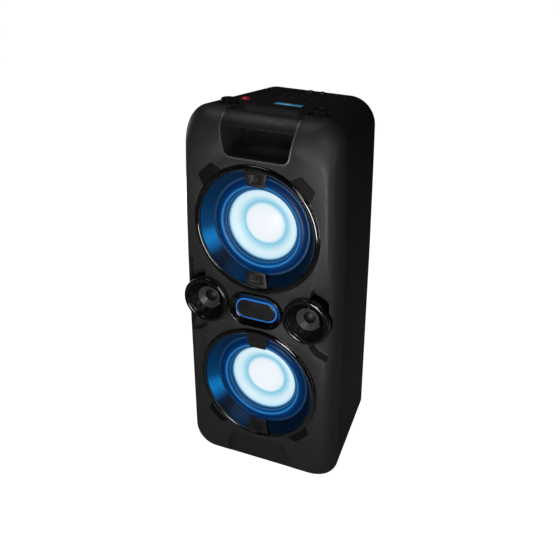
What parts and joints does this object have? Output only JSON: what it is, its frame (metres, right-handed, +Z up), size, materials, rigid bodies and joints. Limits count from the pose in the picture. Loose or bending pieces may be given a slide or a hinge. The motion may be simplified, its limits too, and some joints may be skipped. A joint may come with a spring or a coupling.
{
  "type": "party speaker",
  "caption": "Tall floor-standing party speaker with lit woofers, tweeter pods, a top grab handle and a sloping control panel.",
  "frame": {"origin": "centre of the footprint on the floor", "axes": "+Z up, -Y towards the listener (the front), +X to the listener's right"},
  "size_m": [0.303, 0.2708, 0.7316],
  "materials": {
    "cabinet_shell": "fine spark-eroded texture, satin black",
    "front_shell": "fine texture, satin charcoal",
    "handle_plastic": "smooth satin charcoal",
    "panel_plastic": "fine texture, satin black",
    "rear_panel_metal": "powder-coated black",
    "foot_rubber": "matt black",
    "screw_steel": "black zinc",
    "ring_gloss": "piano black",
    "reflector_blue": "metallised blue",
    "light_blue": "lit diffuser",
    "basket_steel": "black painted pressing",
    "magnet_steel": "dark ferrite and plated steel",
    "surround_rubber": "moulded rubber lit blue",
    "cone_lit": "translucent, lit from behind",
    "cap_lit": "translucent, lit from behind",
    "spider_cloth": "phenolic cloth",
    "coil_copper": "copper winding on a former",
    "horn_gloss": "satin to gloss black",
    "phase_grey": "satin grey",
    "dome_dark": "treated dome",
    "badge_gloss": "piano black",
    "badge_cap": "smoked black",
    "display_blue": "backlit blue window",
    "display_module": "display module",
    "circuit_board": "populated board",
    "knob_plastic": "satin black, knurled",
    "power_red": "translucent red, lit",
    "button_plastic": "satin grey-black",
    "socket_plastic": "moulded black"
  },
  "bodies": {
    "root": {"rear_cabinet": "cabinet_shell", "front_baffle": "front_shell", "handle_pocket": "handle_plastic", "handle_bar": "handle_plastic", "top_panel": "panel_plastic", "rear_panel": "rear_panel_metal", "rubber_feet": "foot_rubber", "panel_screws": "screw_steel", "upper_trim_ring": "ring_gloss", "upper_reflector": "reflector_blue", "upper_light_ring": "light_blue", "upper_basket": "basket_steel", "upper_magnet": "magnet_steel", "upper_surround": "surround_rubber", "upper_spider": "spider_cloth", "lower_trim_ring": "ring_gloss", "lower_reflector": "reflector_blue", "lower_light_ring": "light_blue", "lower_basket": "basket_steel", "lower_magnet": "magnet_steel", "lower_surround": "surround_rubber", "lower_spider": "spider_cloth", "left_tweeter_horn": "horn_gloss", "left_phase_ring": "phase_grey", "left_dome": "dome_dark", "left_tweeter_magnet": "magnet_steel", "right_tweeter_horn": "horn_gloss", "right_phase_ring": "phase_grey", "right_dome": "dome_dark", "right_tweeter_magnet": "magnet_steel", "badge_dish": "badge_gloss", "badge_light": "light_blue", "badge_cap": "badge_cap", "display_lens": "display_blue", "display_module": "display_module", "control_board": "circuit_board", "amplifier_board": "circuit_board", "power_supply": "circuit_board", "mains_inlet": "socket_plastic"},
    "upper_cone_body": {"upper_cone": "cone_lit", "upper_dust_cap": "cap_lit", "upper_voice_coil": "coil_copper"},
    "lower_cone_body": {"lower_cone": "cone_lit", "lower_dust_cap": "cap_lit", "lower_voice_coil": "coil_copper"},
    "left_knob_body": {"left_knob": "knob_plastic"},
    "right_knob_body": {"right_knob": "knob_plastic"},
    "mic_knob_body": {"mic_knob": "knob_plastic"},
    "rear_knob_a_body": {"rear_knob_a": "knob_plastic"},
    "rear_knob_b_body": {"rear_knob_b": "knob_plastic"},
    "power_button_body": {"power_button": "power_red"},
    "power_switch_body": {"power_switch": "socket_plastic"},
    "button_1_body": {"button_1": "button_plastic"},
    "button_2_body": {"button_2": "button_plastic"},
    "button_3_body": {"button_3": "button_plastic"},
    "button_4_body": {"button_4": "button_plastic"},
    "button_5_body": {"button_5": "button_plastic"},
    "button_6_body": {"button_6": "button_plastic"},
    "button_7_body": {"button_7": "button_plastic"},
    "button_8_body": {"button_8": "button_plastic"}
  },
  "joints": [
    {"name": "upper_cone_travel", "type": "slide", "parent": "root", "child": "upper_cone_body", "axis": [0, -1, 0], "range_m": [-0.004, 0.004], "stiffness_N_per_m": 2000, "deforming": ["upper_surround", "upper_spider"]},
    {"name": "lower_cone_travel", "type": "slide", "parent": "root", "child": "lower_cone_body", "axis": [0, -1, 0], "range_m": [-0.004, 0.004], "stiffness_N_per_m": 2000, "deforming": ["lower_surround", "lower_spider"]},
    {"name": "left_knob_turn", "type": "hinge", "parent": "root", "child": "left_knob_body", "pos_m": [-0.084, -0.0506, 0.72267], "axis": [0, 0.0893, 0.996], "range_deg": [-150, 150]},
    {"name": "right_knob_turn", "type": "hinge", "parent": "root", "child": "right_knob_body", "pos_m": [0.084, -0.0506, 0.72267], "axis": [0, 0.0893, 0.996], "continuous": true},
    {"name": "mic_knob_turn", "type": "hinge", "parent": "root", "child": "mic_knob_body", "pos_m": [0.076, -0.0066, 0.71873], "axis": [0, 0.0893, 0.996], "range_deg": [-150, 150]},
    {"name": "rear_knob_a_turn", "type": "hinge", "parent": "root", "child": "rear_knob_a_body", "pos_m": [0.003, 0.1054, 0.70869], "axis": [0, 0.0893, 0.996], "range_deg": [-150, 150]},
    {"name": "rear_knob_b_turn", "type": "hinge", "parent": "root", "child": "rear_knob_b_body", "pos_m": [0.026, 0.1054, 0.70869], "axis": [0, 0.0893, 0.996], "range_deg": [-150, 150]},
    {"name": "power_button_press", "type": "slide", "parent": "root", "child": "power_button_body", "axis": [0, -0.0893, -0.996], "range_m": [0, 0.001], "stiffness_N_per_m": 600},
    {"name": "button_1_press", "type": "slide", "parent": "root", "child": "button_1_body", "axis": [0, -0.0893, -0.996], "range_m": [0, 0.001], "stiffness_N_per_m": 400},
    {"name": "button_2_press", "type": "slide", "parent": "root", "child": "button_2_body", "axis": [0, -0.0893, -0.996], "range_m": [0, 0.001], "stiffness_N_per_m": 400},
    {"name": "button_3_press", "type": "slide", "parent": "root", "child": "button_3_body", "axis": [0, -0.0893, -0.996], "range_m": [0, 0.001], "stiffness_N_per_m": 400},
    {"name": "button_4_press", "type": "slide", "parent": "root", "child": "button_4_body", "axis": [0, -0.0893, -0.996], "range_m": [0, 0.001], "stiffness_N_per_m": 400},
    {"name": "button_5_press", "type": "slide", "parent": "root", "child": "button_5_body", "axis": [0, -0.0893, -0.996], "range_m": [0, 0.001], "stiffness_N_per_m": 400},
    {"name": "button_6_press", "type": "slide", "parent": "root", "child": "button_6_body", "axis": [0, -0.0893, -0.996], "range_m": [0, 0.001], "stiffness_N_per_m": 400},
    {"name": "button_7_press", "type": "slide", "parent": "root", "child": "button_7_body", "axis": [0, -0.0893, -0.996], "range_m": [0, 0.001], "stiffness_N_per_m": 400},
    {"name": "button_8_press", "type": "slide", "parent": "root", "child": "button_8_body", "axis": [0, -0.0893, -0.996], "range_m": [0, 0.001], "stiffness_N_per_m": 400},
    {"name": "power_switch_rock", "type": "hinge", "parent": "root", "child": "power_switch_body", "pos_m": [0.01, 0.1312, 0.13], "axis": [1, 0, 0], "range_deg": [0, 18]}
  ]
}
